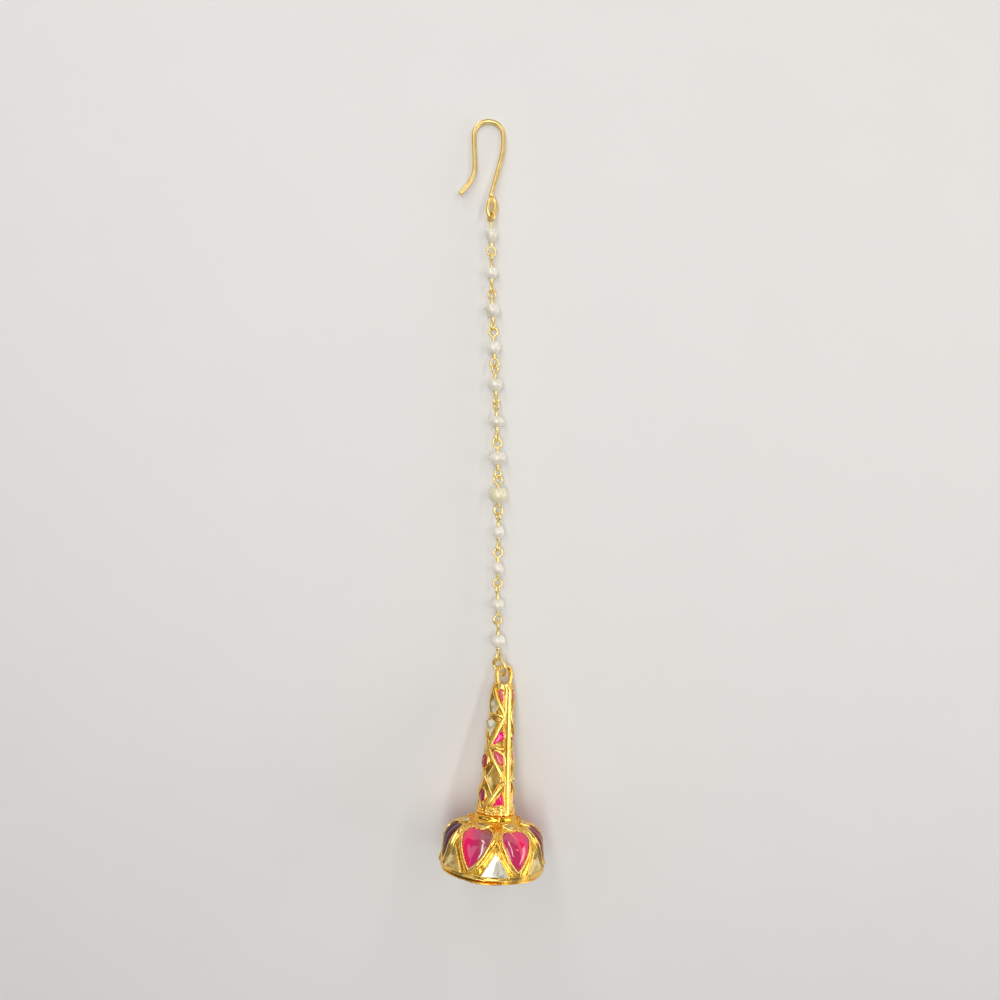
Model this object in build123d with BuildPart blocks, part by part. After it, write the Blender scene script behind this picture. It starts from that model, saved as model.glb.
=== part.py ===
from build123d import *
import os
from collections import namedtuple
from math import cos, radians, sin

os.makedirs("parts", exist_ok=True)

# A maang tikka lying on a flat surface at Z = 0, along Y: the hook at +Y, a chain of twelve pearls on
# linked gold wires, and a stone-set pendant with a tapered stem and a dome at -Y. All sizes are in mm.

clearance = 0.06                 # free space left around each stone and between linked wires

# ---- hook: one round wire, its arch on the surface and its eye raised ----
hook_wire = 0.88
hook_eye_centre = (-0.17, 55.70, 1.42)
hook_slope = 3.3                 # degrees that the wire drops from the eye to the arch
hook_eye_turn = 50               # degrees that the eye is turned out of the hook's plane
hook_eye_bend = 1.15             # centreline radius of the eye's two rounds
hook_eye_straight = 1.70
# the shank's foot, the corners that its bends round off, and the free end: sideways and up from the eye's centre
hook_corners = [(-0.10, 2.0), (2.32, 11.2), (2.32, 16.9), (-3.50, 16.9), (-3.22, 6.1), (-6.0, 2.7)]
hook_bends = [14, 2.8, 2.8, 4.5]

# ---- chain: pearls at an even pitch, each on its own wire with an eye at both ends ----
chain_pitch = 7.24
first_pearl_y = 50.13
chain_wire = 0.45
eye_radius = 0.80                # centreline radius of a wire's eye
pearl_bore = 0.60
neck_flare = 0.90                # diameter of the wire's neck where it meets a pearl
hook_joint = (-0.19, 54.27, 1.53)
ring_joint = (1.14, -33.20, 2.10)

# sideways and height place each pearl's centre; the turns roll its two eyes about the chain
Pearl = namedtuple("Pearl", "width length sideways height upper_turn lower_turn")
pearls = [
    Pearl(2.9, 3.0, -0.1, 1.50, -40, 15),
    Pearl(2.6, 2.4, -0.3, 1.45, -80, 75),
    Pearl(3.2, 2.7, 0.0, 1.66, -35, 65),
    Pearl(3.0, 2.8, 0.2, 1.60, 0, -15),
    Pearl(3.2, 2.6, 0.7, 1.65, 50, 55),
    Pearl(3.4, 2.3, 0.9, 1.75, -58, 70),
    Pearl(3.7, 2.7, 1.0, 1.95, 5, 48),
    Pearl(4.0, 3.4, 1.1, 2.10, -15, 20),
    Pearl(2.7, 2.6, 1.3, 1.80, -65, 75),
    Pearl(2.5, 2.7, 1.0, 1.50, 5, 8),
    Pearl(2.9, 2.5, 0.9, 1.50, 70, 25),
    Pearl(3.2, 2.7, 1.1, 1.70, -85, 60),
]

# ---- pendant: its axis runs from the base plate to the bail ----
base_centre = (-0.07, -70.41, 10.388)
pendant_dip = 13.9               # degrees that the stem end is lower than the dome end
pendant_lean = 3.9               # degrees that the stem leans towards +X
rim_radius = 9.7
rim_height = 1.0
dome_side = (9.15, 4.6)           # radius and height where the straight wall ends
dome_shoulder = (6.56, 7.75)      # and where the shoulder's round ends
dome_top = (4.4, 8.55)
neck_top = (3.6, 9.7)
collar_radius = 3.8
collar_top = 11.2
stem_foot_radius = 3.25
stem_top_radius = 2.2
stem_top = 32.8
cap_radius = 2.1
cap_top = 33.4
plate_radius = 9.45
plate_thickness = 0.25

# ---- bail and jump ring ----
bail_radius = 2.0                # outside, of the arch at the top of its two legs
bail_wall = 0.65
bail_depth = 1.1
bail_azimuth = 30
bail_sunk = 0.1                  # depth that the bail is soldered into the cap
ring_wire = 0.60
ring_radius = 1.80               # centreline
ring_centre = (1.40, -34.50, 1.95)
ring_normal = (-0.77, -0.20, 0.60)

# ---- plain strips that run up the stem, half a turn apart ----
strip_width = 1.4
strip_proud = 0.25
strip_foot_azimuth = 47
strip_top_azimuth = 31

# ---- ruby hearts and polki triangles around the dome ----
heart_count = 7
triangle_azimuth = 2.5           # the uppermost triangle
heart_width = 5.3
heart_length = 6.8
heart_middle = (8.65, 4.92)      # radius and height of the heart's centre
heart_tilt = 26
heart_leans = (1, 0, 0, 0, 0, 4, -9)   # degrees that each heart is turned on the dome
heart_depth = 1.6                # from the heart's plane down to the deepest corner that its outline cuts
heart_seat = 0.40
heart_proud = 0.30               # at the heart's middle; its face is flat from side to side
triangle_base = 4.6
triangle_height = 3.5
triangle_middle = (9.52, 2.9)
triangle_tilt = 7
triangle_seat = 0.50
triangle_proud = 0.12
shoulder_width = 2.6
shoulder_length = 1.5
shoulder_middle = (5.75, 8.2)
shoulder_tilt = 66
shoulder_seat = 0.35
shoulder_proud = 0.15

# ---- stem stones: around is in degrees from the strip; seat is how deep a stone sits ----
Stone = namedtuple("Stone", "node shape height around length width lean seat mirrored")
stem_stones = [
    Stone("stem_ruby_drops", "drop", 31.3, -36, 2.7, 1.30, 0, 0.30, True),
    Stone("stem_ruby_pears", "drop", 23.4, -48, 2.6, 1.40, -30, 0.30, True),
    Stone("stem_ruby_leaves", "marquise", 19.8, -38, 3.0, 1.45, 38, 0.30, True),
    Stone("stem_ruby_wedges", "wedge", 12.55, -38, 2.4, 2.10, 0, 0.40, True),
    Stone("stem_ruby_marquises", "marquise", 19.1, -98, 2.4, 1.35, 0, 0.30, False),
    Stone("stem_ruby_marquises", "marquise", 12.8, -98, 2.4, 1.35, 0, 0.30, False),
    Stone("stem_polki_pears", "drop", 29.2, -78, 2.6, 1.80, 0, 0.40, False),
    Stone("stem_polki_pears", "drop", 31.4, -106, 1.4, 0.80, 0, 0.30, False),
    Stone("stem_polki_kites", "kite", 25.2, -90, 3.0, 2.70, 0, 0.50, False),
    Stone("stem_polki_rhombs", "rhomb", 16, -60, 5.0, 2.70, 0, 0.55, True),
]
stem_stone_proud = 0.18

# ---- derived frames ----
dip, lean = radians(pendant_dip), radians(pendant_lean)
pendant = Plane(
    origin=base_centre,
    x_dir=(cos(lean), -sin(lean), 0),
    z_dir=(sin(lean) * cos(dip), cos(lean) * cos(dip), -sin(dip)),
)
pendant_section = Plane(origin=pendant.origin, x_dir=pendant.x_dir, z_dir=-pendant.y_dir)
pendant_axis = Axis(pendant.origin, pendant.z_dir)


def facing(azimuth, radius, height, tilt):
    """A plane on the pendant whose normal points outwards; azimuth 0 is the side that faces up."""
    turn, rise = radians(azimuth), radians(tilt)
    local = Plane(
        origin=(radius * sin(turn), -radius * cos(turn), height),
        x_dir=(cos(turn), sin(turn), 0),
        z_dir=(sin(turn) * cos(rise), -cos(turn) * cos(rise), sin(rise)),
    )
    return Plane(pendant.location * local.location)


def strip_azimuth(height):
    share = (height - collar_top) / (stem_top - collar_top)
    return strip_foot_azimuth + share * (strip_top_azimuth - strip_foot_azimuth)


def stem_radius(height):
    share = (height - collar_top) / (stem_top - collar_top)
    return stem_foot_radius + share * (stem_top_radius - stem_foot_radius)


def stone_outline(shape, length, width):
    """The outline of one stone, upright and centred; a negative width turns it left for right."""
    tip, side = length / 2, width / 2
    with BuildSketch() as outline:
        with BuildLine():
            if shape == "heart":
                ThreePointArc((0, 0.84 * tip), (0.5 * side, tip), (side, 0.4 * tip))
                ThreePointArc((side, 0.4 * tip), (0.66 * side, -0.36 * tip), (0, -tip))
                mirror(about=Plane.YZ)
            elif shape == "marquise":
                ThreePointArc((0, -tip), (side, 0), (0, tip))
                mirror(about=Plane.YZ)
            elif shape == "drop":
                shoulder = tip - abs(side)
                ThreePointArc((0, tip), (0.71 * side, shoulder + 0.71 * abs(side)), (side, shoulder))
                ThreePointArc((side, shoulder), (0.62 * side, -0.35 * tip), (0, -tip))
                mirror(about=Plane.YZ)
            elif shape == "kite":
                Polyline((0, -tip), (side, 0.7 * tip), (0, tip), (-side, 0.7 * tip), (0, -tip))
            elif shape == "wedge":
                Polyline((-side, -tip), (side, -tip), (0.55 * side, tip), (-side, -tip))
            elif shape == "triangle":
                Polyline((-side, -tip), (side, -tip), (0, tip), (-side, -tip))
            else:
                Polyline((0, -tip), (side, 0), (0, tip), (-side, 0), (0, -tip))
        make_face()
    return outline.sketch


def dome_outline(growth):
    """Half of the dome's section, radius across and height along, grown or shrunk by an even amount."""
    with BuildSketch() as outline:
        with BuildLine():
            wall = Line((rim_radius, 0), (rim_radius, rim_height))
            side = Line(wall @ 1, dome_side)
            shoulder = TangentArc(side @ 1, dome_shoulder, tangent=side % 1)
            Polyline(shoulder @ 1, dome_top, (0, dome_top[1]), (0, 0), wall @ 0)
        make_face()
        if growth:
            offset(amount=growth)
        Rectangle(40, 40, align=(Align.MAX, Align.CENTER), mode=Mode.SUBTRACT)
    return outline.sketch


def dome_solid(growth):
    with BuildPart() as dome:
        with BuildSketch(pendant_section):
            add(dome_outline(growth))
        revolve(axis=pendant_axis)
    return dome.part


def meridian(azimuth):
    """The plane through the pendant's axis at an azimuth: radius across, height along."""
    radial = facing(azimuth, 0, 0, 0).z_dir
    return Plane(origin=pendant.origin, x_dir=radial, z_dir=radial.cross(pendant.z_dir))


def stone_places(stone):
    """Every azimuth at which a stem stone is repeated: beside both strips, and mirrored across them."""
    strip = strip_azimuth(stone.height)
    sides = (1, -1) if stone.mirrored else (1,)
    return [(strip + side * stone.around + half_turn, side) for side in sides for half_turn in (0, 180)]


def stem_stone_plane(stone, azimuth, side):
    surface = facing(azimuth, stem_radius(stone.height), stone.height, 0)
    return surface.rotated((0, 0, side * stone.lean))


heart_step = 360 / heart_count
triangle_azimuths = [triangle_azimuth + heart_step * step for step in range(heart_count)]
heart_azimuths = [azimuth + heart_step / 2 for azimuth in triangle_azimuths]
heart_planes = [
    facing(azimuth, *heart_middle, heart_tilt).rotated((0, 0, lean)).offset(-heart_depth)
    for azimuth, lean in zip(heart_azimuths, heart_leans)
]

# ---- hook ----
slope = radians(hook_slope)
hook_plane = Plane(origin=hook_eye_centre, x_dir=(1, 0, 0), z_dir=(0, sin(slope), cos(slope)))
eye_plane = hook_plane.rotated((0, hook_eye_turn, 0))
half_straight = hook_eye_straight / 2

with BuildPart() as hook:
    with BuildLine(hook_plane) as shank_path:
        FilletPolyline(*hook_corners, radius=hook_bends)
    with BuildSketch(Plane(origin=shank_path.line @ 0, z_dir=shank_path.line % 0)):
        Circle(hook_wire / 2)
    sweep(path=shank_path)
    with BuildLine(eye_plane) as eye_path:
        Line((-hook_eye_bend, -half_straight), (-hook_eye_bend, half_straight))
        ThreePointArc((-hook_eye_bend, half_straight), (0, half_straight + hook_eye_bend),
                      (hook_eye_bend, half_straight))
        Line((hook_eye_bend, half_straight), (hook_eye_bend, -half_straight))
        ThreePointArc((hook_eye_bend, -half_straight), (0, -half_straight - hook_eye_bend),
                      (-hook_eye_bend, -half_straight))
    with BuildSketch(Plane(origin=eye_path.line @ 0, z_dir=eye_path.line % 0)):
        Circle(hook_wire / 2)
    sweep(path=eye_path)
hook.part.label = "hook"
export_step(hook.part, "parts/hook.step")

# ---- pearls and their wires ----
centres = [Vector(pearl.sideways, first_pearl_y - chain_pitch * index, pearl.height)
           for index, pearl in enumerate(pearls)]
joints = [Vector(*hook_joint)]
joints += [(upper + lower) * 0.5 for upper, lower in zip(centres, centres[1:])]
joints += [Vector(*ring_joint)]
eye_setback = eye_radius - chain_wire / 2 - clearance / 2

for index, pearl in enumerate(pearls):
    number = f"{index + 1:02d}"
    upper_joint, lower_joint = joints[index], joints[index + 1]
    along = (upper_joint - lower_joint).normalized()
    below = (centres[index] - lower_joint).dot(along)
    above = (upper_joint - lower_joint).length - below
    seat = Plane(origin=lower_joint + along * below, x_dir=(1, 0, 0), z_dir=along)
    seat_section = Plane(origin=seat.origin, x_dir=seat.x_dir, z_dir=-seat.y_dir)

    with BuildPart(seat) as pearl_body:
        with BuildSketch(seat_section):
            Ellipse(pearl.width / 2, pearl.length / 2)
            Rectangle(pearl.width, 2 * pearl.length, align=(Align.MAX, Align.CENTER), mode=Mode.SUBTRACT)
        revolve(axis=Axis(seat.origin, seat.z_dir))
        Cylinder(pearl_bore / 2, 2 * pearl.length, mode=Mode.SUBTRACT)
    pearl_body.part.label = f"pearl_{number}"
    export_step(pearl_body.part, f"parts/pearl_{number}.step")

    eyes = [(above - eye_setback, 1, pearl.upper_turn), (below - eye_setback, -1, pearl.lower_turn)]
    with BuildPart(seat) as pearl_wire:
        for reach, end, turn in eyes:
            neck_foot = pearl.length / 2 + clearance
            neck_length = reach - eye_radius - neck_foot
            with Locations(Location((0, 0, end * reach), (90, turn, 0))):
                Torus(eye_radius, chain_wire / 2)
            with Locations((0, 0, end * (reach - eye_radius) / 2)):
                Cylinder(chain_wire / 2, reach - eye_radius)
            with Locations(Location((0, 0, end * neck_foot), (0 if end > 0 else 180, 0, 0))):
                Cone(neck_flare / 2, chain_wire / 2, neck_length, align=(Align.CENTER, Align.CENTER, Align.MIN))
    pearl_wire.part.label = f"pearl_wire_{number}"
    export_step(pearl_wire.part, f"parts/pearl_wire_{number}.step")

# ---- jump ring ----
with BuildPart(Plane(origin=ring_centre, z_dir=ring_normal)) as jump_ring:
    Torus(ring_radius, ring_wire / 2)
jump_ring.part.label = "jump_ring"
export_step(jump_ring.part, "parts/jump_ring.step")

# ---- pendant setting: everything from the base plate to the bail, as one soldered piece ----
with BuildPart() as heart_pockets:
    for heart_plane in heart_planes:
        with BuildSketch(heart_plane):
            add(stone_outline("heart", heart_length, heart_width))
            offset(amount=clearance)
    extrude(amount=2.5 * heart_depth)
    add(dome_solid(-heart_seat), mode=Mode.SUBTRACT)

with BuildPart() as pendant_setting:
    add(dome_solid(0))
    with BuildSketch(pendant_section):
        with BuildLine():
            neck = ThreePointArc(dome_top, (neck_top[0] + 0.15, dome_top[1] + 0.45), neck_top)
            Polyline(
                neck @ 1, (collar_radius, neck_top[1]), (collar_radius, collar_top),
                (stem_foot_radius, collar_top), (stem_top_radius, stem_top), (cap_radius, stem_top),
                (cap_radius, cap_top), (0, cap_top), (0, -plate_thickness), (plate_radius, -plate_thickness),
                (plate_radius, dome_top[1] / 2), (dome_top[0], dome_top[1] / 2), dome_top,
            )
        make_face()
    revolve(axis=pendant_axis)
    for half_turn in (0, 180):
        foot = facing(strip_foot_azimuth + half_turn, stem_radius(collar_top), collar_top - 0.5, 0)
        head = facing(strip_top_azimuth + half_turn, stem_radius(stem_top), stem_top, 0)
        run = head.origin - foot.origin
        with BuildSketch(Plane(origin=foot.origin, x_dir=foot.x_dir, z_dir=run)):
            Rectangle(strip_width, 2 * strip_proud)
        extrude(amount=run.length)
    for stone in stem_stones:
        for azimuth, side in stone_places(stone):
            with BuildSketch(stem_stone_plane(stone, azimuth, side).offset(-stone.seat)):
                add(stone_outline(stone.shape, stone.length, side * stone.width))
                offset(amount=clearance)
    extrude(amount=1.5, mode=Mode.SUBTRACT)
    for azimuth in triangle_azimuths:
        with BuildSketch(facing(azimuth, *triangle_middle, triangle_tilt).offset(-triangle_seat)):
            add(stone_outline("triangle", triangle_height, triangle_base))
            offset(amount=clearance)
    for azimuth in heart_azimuths:
        with BuildSketch(facing(azimuth, *shoulder_middle, shoulder_tilt).offset(-shoulder_seat)):
            add(stone_outline("kite", shoulder_length, shoulder_width))
            offset(amount=clearance)
    extrude(amount=1.5, mode=Mode.SUBTRACT)
    add(heart_pockets.part, mode=Mode.SUBTRACT)
    with BuildSketch(facing(bail_azimuth, 0, cap_top + bail_radius - bail_sunk, 0)):
        for radius, mode in ((bail_radius, Mode.ADD), (bail_radius - bail_wall, Mode.SUBTRACT)):
            Circle(radius, mode=mode)
            Rectangle(2 * radius, bail_radius, align=(Align.CENTER, Align.MAX), mode=mode)
    extrude(amount=bail_depth / 2, both=True)
pendant_setting.part.label = "pendant_setting"
export_step(pendant_setting.part, "parts/pendant_setting.step")

# ---- ruby hearts: each follows the dome's curve from notch to tip, and is flat from side to side ----
heart_inside = dome_solid(clearance - heart_seat)
for index, (azimuth, heart_plane) in enumerate(zip(heart_azimuths, heart_planes)):
    with BuildPart() as ruby_heart:
        with BuildSketch(heart_plane):
            add(stone_outline("heart", heart_length, heart_width))
        extrude(amount=2.5 * heart_depth)
        with BuildSketch(meridian(azimuth)):
            add(dome_outline(heart_proud))
        extrude(amount=heart_width, both=True, mode=Mode.INTERSECT)
        add(heart_inside, mode=Mode.SUBTRACT)
    ruby_heart.part.label = f"ruby_heart_{index + 1}"
    export_step(ruby_heart.part, f"parts/ruby_heart_{index + 1}.step")

# ---- polki triangles: flat stones between the heart tips ----
for index, azimuth in enumerate(triangle_azimuths):
    with BuildPart() as polki_triangle:
        with BuildSketch(facing(azimuth, *triangle_middle, triangle_tilt).offset(clearance - triangle_seat)):
            add(stone_outline("triangle", triangle_height, triangle_base))
        extrude(amount=triangle_seat - clearance + triangle_proud)
    polki_triangle.part.label = f"polki_triangle_{index + 1}"
    export_step(polki_triangle.part, f"parts/polki_triangle_{index + 1}.step")

# ---- shoulder stones: one above each heart's notch ----
with BuildPart() as shoulder_polki:
    for azimuth in heart_azimuths:
        with BuildSketch(facing(azimuth, *shoulder_middle, shoulder_tilt).offset(clearance - shoulder_seat)):
            add(stone_outline("kite", shoulder_length, shoulder_width))
    extrude(amount=shoulder_seat - clearance + shoulder_proud)
shoulder_polki.part.label = "shoulder_polki"
export_step(shoulder_polki.part, "parts/shoulder_polki.step")

# ---- stem stones: one node for each shape ----
for node in sorted({stone.node for stone in stem_stones}):
    with BuildPart() as stem_set:
        for stone in stem_stones:
            if stone.node != node:
                continue
            for azimuth, side in stone_places(stone):
                with BuildSketch(stem_stone_plane(stone, azimuth, side).offset(clearance - stone.seat)):
                    add(stone_outline(stone.shape, stone.length, side * stone.width))
                extrude(amount=stone.seat - clearance + stem_stone_proud)
    stem_set.part.label = node
    export_step(stem_set.part, f"parts/{node}.step")
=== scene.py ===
from collections import namedtuple
from math import cos, pi, radians, sin, tan

import bmesh
import bpy
import numpy as np
from mathutils import Matrix, Vector, noise


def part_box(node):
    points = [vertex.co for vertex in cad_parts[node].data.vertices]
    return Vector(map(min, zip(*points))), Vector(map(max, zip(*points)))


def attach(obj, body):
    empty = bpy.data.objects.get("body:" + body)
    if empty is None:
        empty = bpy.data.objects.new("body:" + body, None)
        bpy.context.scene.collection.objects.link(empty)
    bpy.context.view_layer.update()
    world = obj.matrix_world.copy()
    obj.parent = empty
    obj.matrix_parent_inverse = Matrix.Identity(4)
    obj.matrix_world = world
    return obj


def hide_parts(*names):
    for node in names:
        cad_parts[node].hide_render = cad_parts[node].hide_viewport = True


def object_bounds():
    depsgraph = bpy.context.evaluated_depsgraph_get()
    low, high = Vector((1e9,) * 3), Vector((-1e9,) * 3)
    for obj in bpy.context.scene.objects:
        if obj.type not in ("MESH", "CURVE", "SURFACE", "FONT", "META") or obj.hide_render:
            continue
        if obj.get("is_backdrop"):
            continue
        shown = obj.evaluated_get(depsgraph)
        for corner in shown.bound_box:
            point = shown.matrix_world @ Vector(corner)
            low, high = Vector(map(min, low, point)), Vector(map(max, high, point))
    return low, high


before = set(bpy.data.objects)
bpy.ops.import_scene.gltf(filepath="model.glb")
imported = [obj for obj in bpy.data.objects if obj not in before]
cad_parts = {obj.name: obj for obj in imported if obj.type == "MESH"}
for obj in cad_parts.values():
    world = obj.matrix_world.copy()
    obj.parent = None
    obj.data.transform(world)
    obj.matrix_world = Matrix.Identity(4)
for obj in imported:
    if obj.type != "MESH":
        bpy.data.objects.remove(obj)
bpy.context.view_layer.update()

MM = 0.001
PEARL_COUNT = 12

# ---- the pendant's frame and sizes, mostly as in the CAD part, in mm and degrees ----
# AXIS runs from BASE, the middle of the base, to the bail, and BACK points to the floor
DIP, LEAN = radians(13.9), radians(3.9)
AXIS = np.array([sin(LEAN) * cos(DIP), cos(LEAN) * cos(DIP), -sin(DIP)])
ACROSS = np.array([cos(LEAN), -sin(LEAN), 0])
BACK = np.cross(AXIS, ACROSS)
BASE = np.array([-0.07, -70.41, 10.388])

# a pair is a radius and a height
RIM_RADIUS, RIM_HEIGHT = 9.7, 1
DOME_SIDE, DOME_SHOULDER, DOME_TOP = (9.15, 4.6), (6.56, 7.75), (4.4, 8.55)
NECK_FOOT = (3.6, 9.2)
COLLAR_TOP, STEM_TOP, CAP_TOP = 11.2, 32.8, 33.4
BAIL_RADIUS, BAIL_WALL, BAIL_DEPTH, BAIL_AZIMUTH, BAIL_SUNK = 2, 0.74, 1.1, 30, 0.1
STRIP_FOOT_AZIMUTH, STRIP_HEAD_AZIMUTH = 47, 31
HEART_COUNT, TRIANGLE_AZIMUTH = 7, 2.5
HEART_MIDDLE, HEART_TILT, HEART_PROUD = (8.65, 4.92), 26, 0.06
# width, length, middle, tilt, and how far it stands proud
TRIANGLE = (4.35, 3.5, (9.5, 2.9), 7, 0.05)
SHOULDER = (2.6, 1.5, (5.75, 8.2), 66, 0.15)
# width and length
FRONT_TRIANGLE = (4.9, 3.8)
RUBY_CROWN, POLKI_CROWN, STEM_TAPER = 0.34, 0.2, 3.5
SETTING = "pendant_setting"

# shift is to the side and up, and skew moves the notch and the tip sideways, as a share of half the width.
# tones gives the tone at places from the left edge, -1, to the right edge, 1, and slant tilts them; the tone
# is painted light: a painted milky mauve reflection beside bright magenta, and painted shade in dark wine.
Heart = namedtuple("Heart", "skew crown slant tones width length lean shift", defaults=(5.3, 6.8, 0, (0, 0)))
# tone patterns: painted shade that darkens the two side hearts, and a painted mauve reflection between
# brighter sides
WINE_IN_PAINTED_SHADE = [(0, 0.96), (1, 0.88)]
DUSK_IN_PAINTED_SHADE = [(-1, 0.86), (1, 0.72)]
ROSE_WITH_PAINTED_REFLECTION = [(-1, 0.3), (0, 0.46), (1, 0.1)]
# the two front hearts have their own lists of painted reflection and painted shade
HEARTS = [
    Heart(0, 0.5, -0.33, [(-1, 0.4), (-0.5, 0.47), (0.02, 0.42), (0.06, 0), (0.27, 0), (0.31, 0.12),
                          (0.62, 0.14), (0.8, 0.3)], 5.2, 6.6, 1, (0, 0.05)),
    Heart(0, 0.38, 0, DUSK_IN_PAINTED_SHADE),
    Heart(-0.06, 0.4, 0.2, ROSE_WITH_PAINTED_REFLECTION),
    Heart(0, 0.26, -0.2, ROSE_WITH_PAINTED_REFLECTION),
    Heart(0.08, 0.4, 0.1, ROSE_WITH_PAINTED_REFLECTION),
    Heart(0, 0.38, 0, WINE_IN_PAINTED_SHADE, lean=4),
    Heart(-0.34, 0.5, -0.06, [(-1, 0.2), (-0.8, 0.11), (-0.46, 0.2), (-0.36, 0.12), (-0.22, 0.34),
                              (0.1, 0.42), (0.34, 0.5), (0.42, 0.63), (1, 0.66)], 5.5, 6.9, 3, (0.24, 0.36)),
]

# around is in degrees from the strip, and mirrored repeats the stone on the strip's other side
Stone = namedtuple("Stone", "node shape height around length width tone mirrored lean lift",
                   defaults=(False, 0, 0))
STEM_STONES = [
    Stone("ruby_drops", "drop", 31.3, -36, 2.8, 1.5, 0.8, True),
    Stone("ruby_pears", "drop", 23.4, -48, 2.9, 1.75, 0, True, -34),
    Stone("ruby_leaves", "marquise", 19.8, -38, 3.3, 1.7, 0.6, True, 36),
    Stone("ruby_wedges", "wedge", 12.6, -38, 2.5, 2.3, 0.2, True),
    Stone("ruby_marquises", "marquise", 19.1, -98, 2.5, 1.75, 0.95, lift=0.45),
    Stone("ruby_marquises", "marquise", 12.9, -98, 2.5, 1.75, 1, lift=0.25),
    Stone("polki_pears", "drop", 29.2, -74, 2.8, 1.95, 0.45),
    Stone("polki_pears", "drop", 31.4, -106, 1.5, 0.9, 0.5),
    Stone("polki_kites", "kite", 25.1, -86, 3.3, 2.9, 0.45, lift=0.08),
    Stone("polki_rhombs", "rhomb", 16, -60, 5, 2.8, 0.5, True),
]

# ---- meshes ----
MERGE_DISTANCE = 0.0002 * MM
# directions that no wire and no bead has
ASKEW_WIRE, ASKEW_BEAD = (0.31, 0.47, 0.83), (0.2, 0.3, 0.9)


class Shape:
    """Points in mm and faces, gathered from loops. Each point has a tone that its material reads."""

    def __init__(self):
        self.points, self.faces, self.tones, self.count = [], [], [], 0

    def skin(self, loops, ring=False, tones=0.5):
        """Skins closed loops in turn. The ends are closed, or with ring the last meets the first."""
        loops = np.asarray(loops, float)
        many, around = loops.shape[:2]
        points, tones = loops.reshape(-1, 3), np.broadcast_to(tones, (many, around)).ravel()
        faces = []
        for row in range(many if ring else many - 1):
            below, above = row * around, (row + 1) % many * around
            for step in range(around):
                beside = (step + 1) % around
                faces.append((below + step, below + beside, above + beside, above + step))
        if not ring:
            top, first, last = (many - 1) * around, many * around, many * around + 1
            points = np.vstack([points, loops[0].mean(0), loops[-1].mean(0)])
            tones = np.concatenate([tones, [tones[0], tones[top:].mean()]])
            for step in range(around):
                beside = (step + 1) % around
                faces.append((first, beside, step))
                faces.append((last, top + step, top + beside))
        self.points.append(points)
        self.tones.append(tones)
        self.faces += [tuple(self.count + corner for corner in face) for face in faces]
        self.count += len(points)


def on_pendant(points):
    """Points of the pendant, placed in the scene."""
    return BASE + points[:, :1] * ACROSS + points[:, 1:2] * BACK + points[:, 2:3] * AXIS


def add_object(name, data):
    obj = bpy.data.objects.new(name, data)
    bpy.context.scene.collection.objects.link(obj)
    return obj


def piece(name, shape, material, nodes=(SETTING,), pendant=True, sharp=45):
    """An object of the visual model. Edges sharper than sharp, in degrees, aren't smoothed."""
    points = np.vstack(shape.points)
    if pendant:
        points = on_pendant(points)
    mesh = bpy.data.meshes.new(name)
    mesh.from_pydata((points * MM).tolist(), [], shape.faces)
    tone = mesh.attributes.new("tone", "FLOAT", "POINT")
    tone.data.foreach_set("value", np.concatenate(shape.tones).astype(np.float32))
    work = bmesh.new()
    work.from_mesh(mesh)
    bmesh.ops.remove_doubles(work, verts=work.verts, dist=MERGE_DISTANCE)
    bmesh.ops.recalc_face_normals(work, faces=work.faces)
    work.to_mesh(mesh)
    work.free()
    mesh.polygons.foreach_set("use_smooth", np.ones(len(mesh.polygons), bool))
    mesh.set_sharp_from_angle(angle=radians(sharp))
    mesh.materials.append(material)
    obj = add_object(name, mesh)
    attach(obj, "root")
    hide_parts(*nodes)


def unit(vectors):
    """A vector, or rows of them, brought to length 1."""
    return vectors / np.linalg.norm(vectors, axis=-1, keepdims=True)


def square(vector, direction):
    """The part of the vector that is square to the direction, as a unit vector."""
    return unit(vector - vector.dot(direction) * direction)


def circle(turns, first, second):
    """Points on the unit circle through two directions, at turns in radians."""
    return np.cos(turns)[..., None] * first + np.sin(turns)[..., None] * second


def full_turn(steps):
    return np.linspace(0, 2 * pi, steps, endpoint=False)


def ripple(points, scale, seed):
    """Smooth noise between about -1 and 1 at each point; scale is its features' size in mm."""
    flat = np.asarray(points, float).reshape(-1, 3) / scale + seed
    return np.array([noise.noise(Vector(point)) for point in flat]).reshape(np.asarray(points).shape[:-1])


def tube(shape, path, radius, sides=14, closed=False):
    """A round wire along a path, with rounded ends unless it is closed."""
    path = np.asarray(path, float)
    radius = np.broadcast_to(radius, len(path)).astype(float)
    if not closed:
        swell, bulge = np.radians([80, 55, 28]), 0.7
        lead, trail = unit(path[0] - path[1]), unit(path[-1] - path[-2])
        front = [path[0] + lead * radius[0] * bulge * sin(turn) for turn in swell]
        rear = [path[-1] + trail * radius[-1] * bulge * sin(turn) for turn in swell[::-1]]
        path = np.vstack([front, path, rear])
        radius = np.concatenate([radius[0] * np.cos(swell), radius, radius[-1] * np.cos(swell[::-1])])
    ahead = np.roll(path, -1, 0) - np.roll(path, 1, 0)
    if not closed:
        ahead[0], ahead[-1] = path[1] - path[0], path[-1] - path[-2]
    ahead = unit(ahead)
    side = unit(np.cross(ahead[0], ASKEW_WIRE))
    carried = []
    for direction in ahead:
        side = square(side, direction)
        carried.append(side)
    carried = np.array(carried)
    turned = np.cross(ahead, carried)
    if closed:
        last = square(carried[-1], ahead[0])
        slip = np.arctan2(last.dot(turned[0]), last.dot(carried[0]))
        undo = -slip * np.arange(len(path)) / len(path)
        carried, turned = circle(undo, carried, turned), circle(undo, turned, -carried)
    rings = circle(full_turn(sides), carried[:, None], turned[:, None])
    shape.skin(path[:, None] + radius[:, None, None] * rings, ring=closed)


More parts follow.
